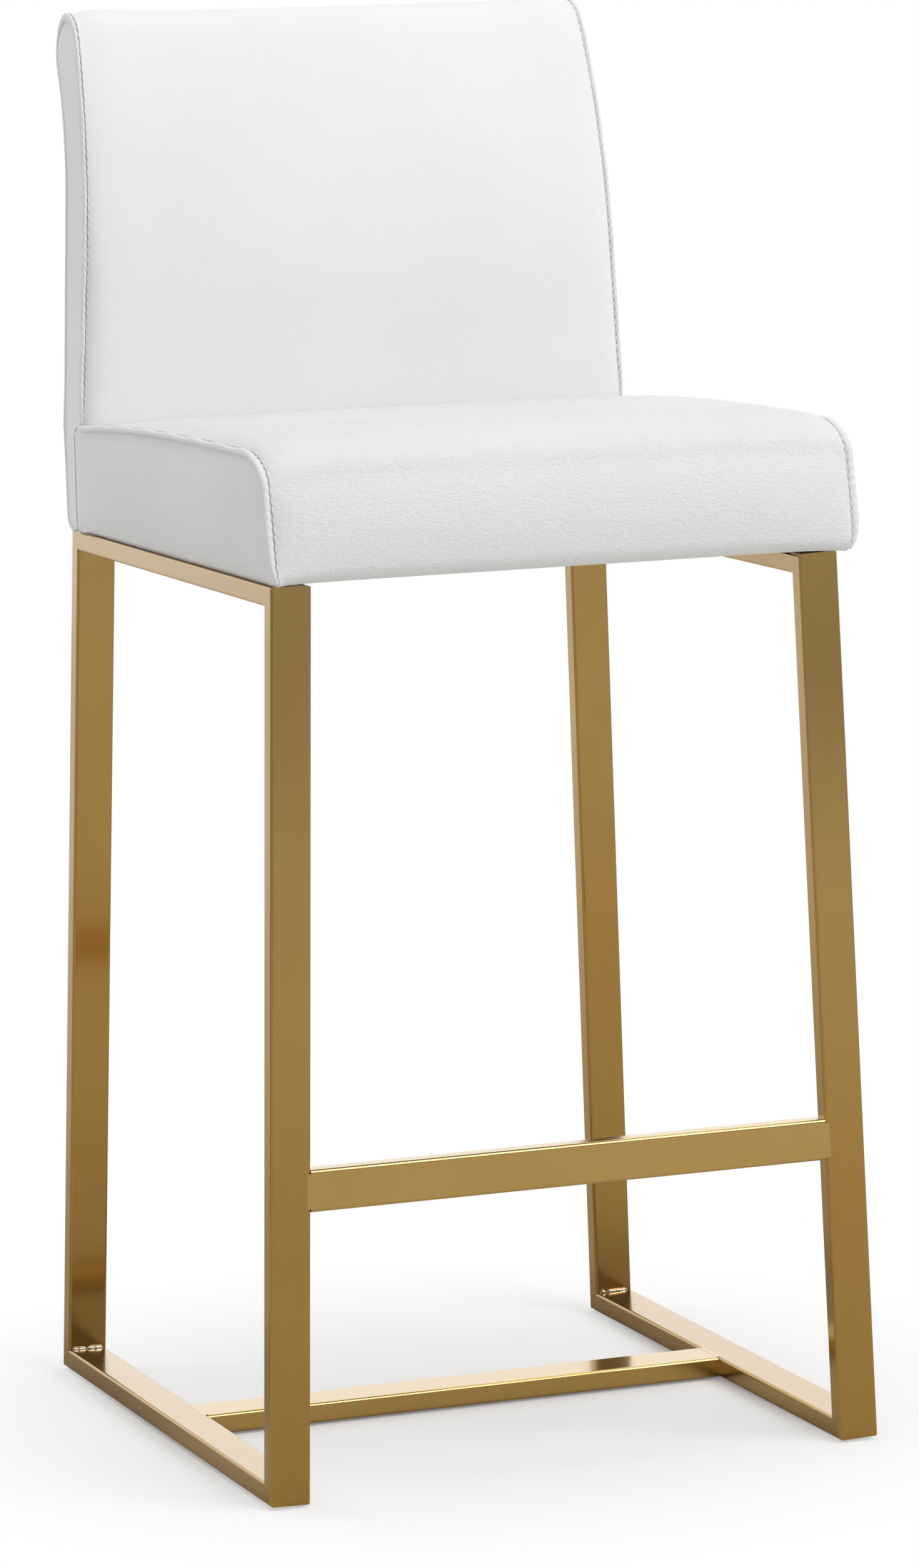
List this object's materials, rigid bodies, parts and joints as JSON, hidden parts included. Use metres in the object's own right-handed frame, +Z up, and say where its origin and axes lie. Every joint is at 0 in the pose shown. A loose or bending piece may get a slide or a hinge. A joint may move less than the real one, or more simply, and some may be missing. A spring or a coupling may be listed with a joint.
{
  "type": "counter stool with footrest",
  "caption": "Counter-height stool: padded white seat and low curved back on two gold tube loops, joined by a front footrest and a floor bar.",
  "frame": {"origin": "on the floor, under the middle of the stool's box", "axes": "+Z up, the sitter faces -Y, +X to the right seen from the front"},
  "size_m": [0.4058, 0.4352, 0.8954],
  "materials": {
    "gold_steel": "brushed, gold toned",
    "weld_metal": "bright, rippled",
    "white_leather": "pebble grain, coated",
    "foam": "open cell",
    "plywood": "sanded",
    "zinc_steel": "zinc plated",
    "dust_cloth": "non-woven",
    "glide_nylon": "moulded"
  },
  "bodies": {
    "root": {"back_board": "plywood", "back_foam": "foam", "back_wrap_cover": "white_leather", "bracket_screws": "zinc_steel", "floor_corner_welds": "weld_metal", "floor_cross_bar": "gold_steel", "floor_glides": "glide_nylon", "footrest_bar": "gold_steel", "left_back_bracket": "zinc_steel", "left_back_side_band": "white_leather", "left_floor_rail": "gold_steel", "left_front_leg": "gold_steel", "left_rear_leg": "gold_steel", "left_seat_side_panel": "white_leather", "left_top_rail": "gold_steel", "right_back_bracket": "zinc_steel", "right_back_side_band": "white_leather", "right_floor_rail": "gold_steel", "right_front_leg": "gold_steel", "right_rear_leg": "gold_steel", "right_seat_side_panel": "white_leather", "right_top_rail": "gold_steel", "seat_board": "plywood", "seat_bolts": "zinc_steel", "seat_dust_cover": "dust_cloth", "seat_foam": "foam", "seat_nuts": "zinc_steel", "seat_washers": "zinc_steel", "seat_wrap_cover": "white_leather"}
  },
  "joints": []
}
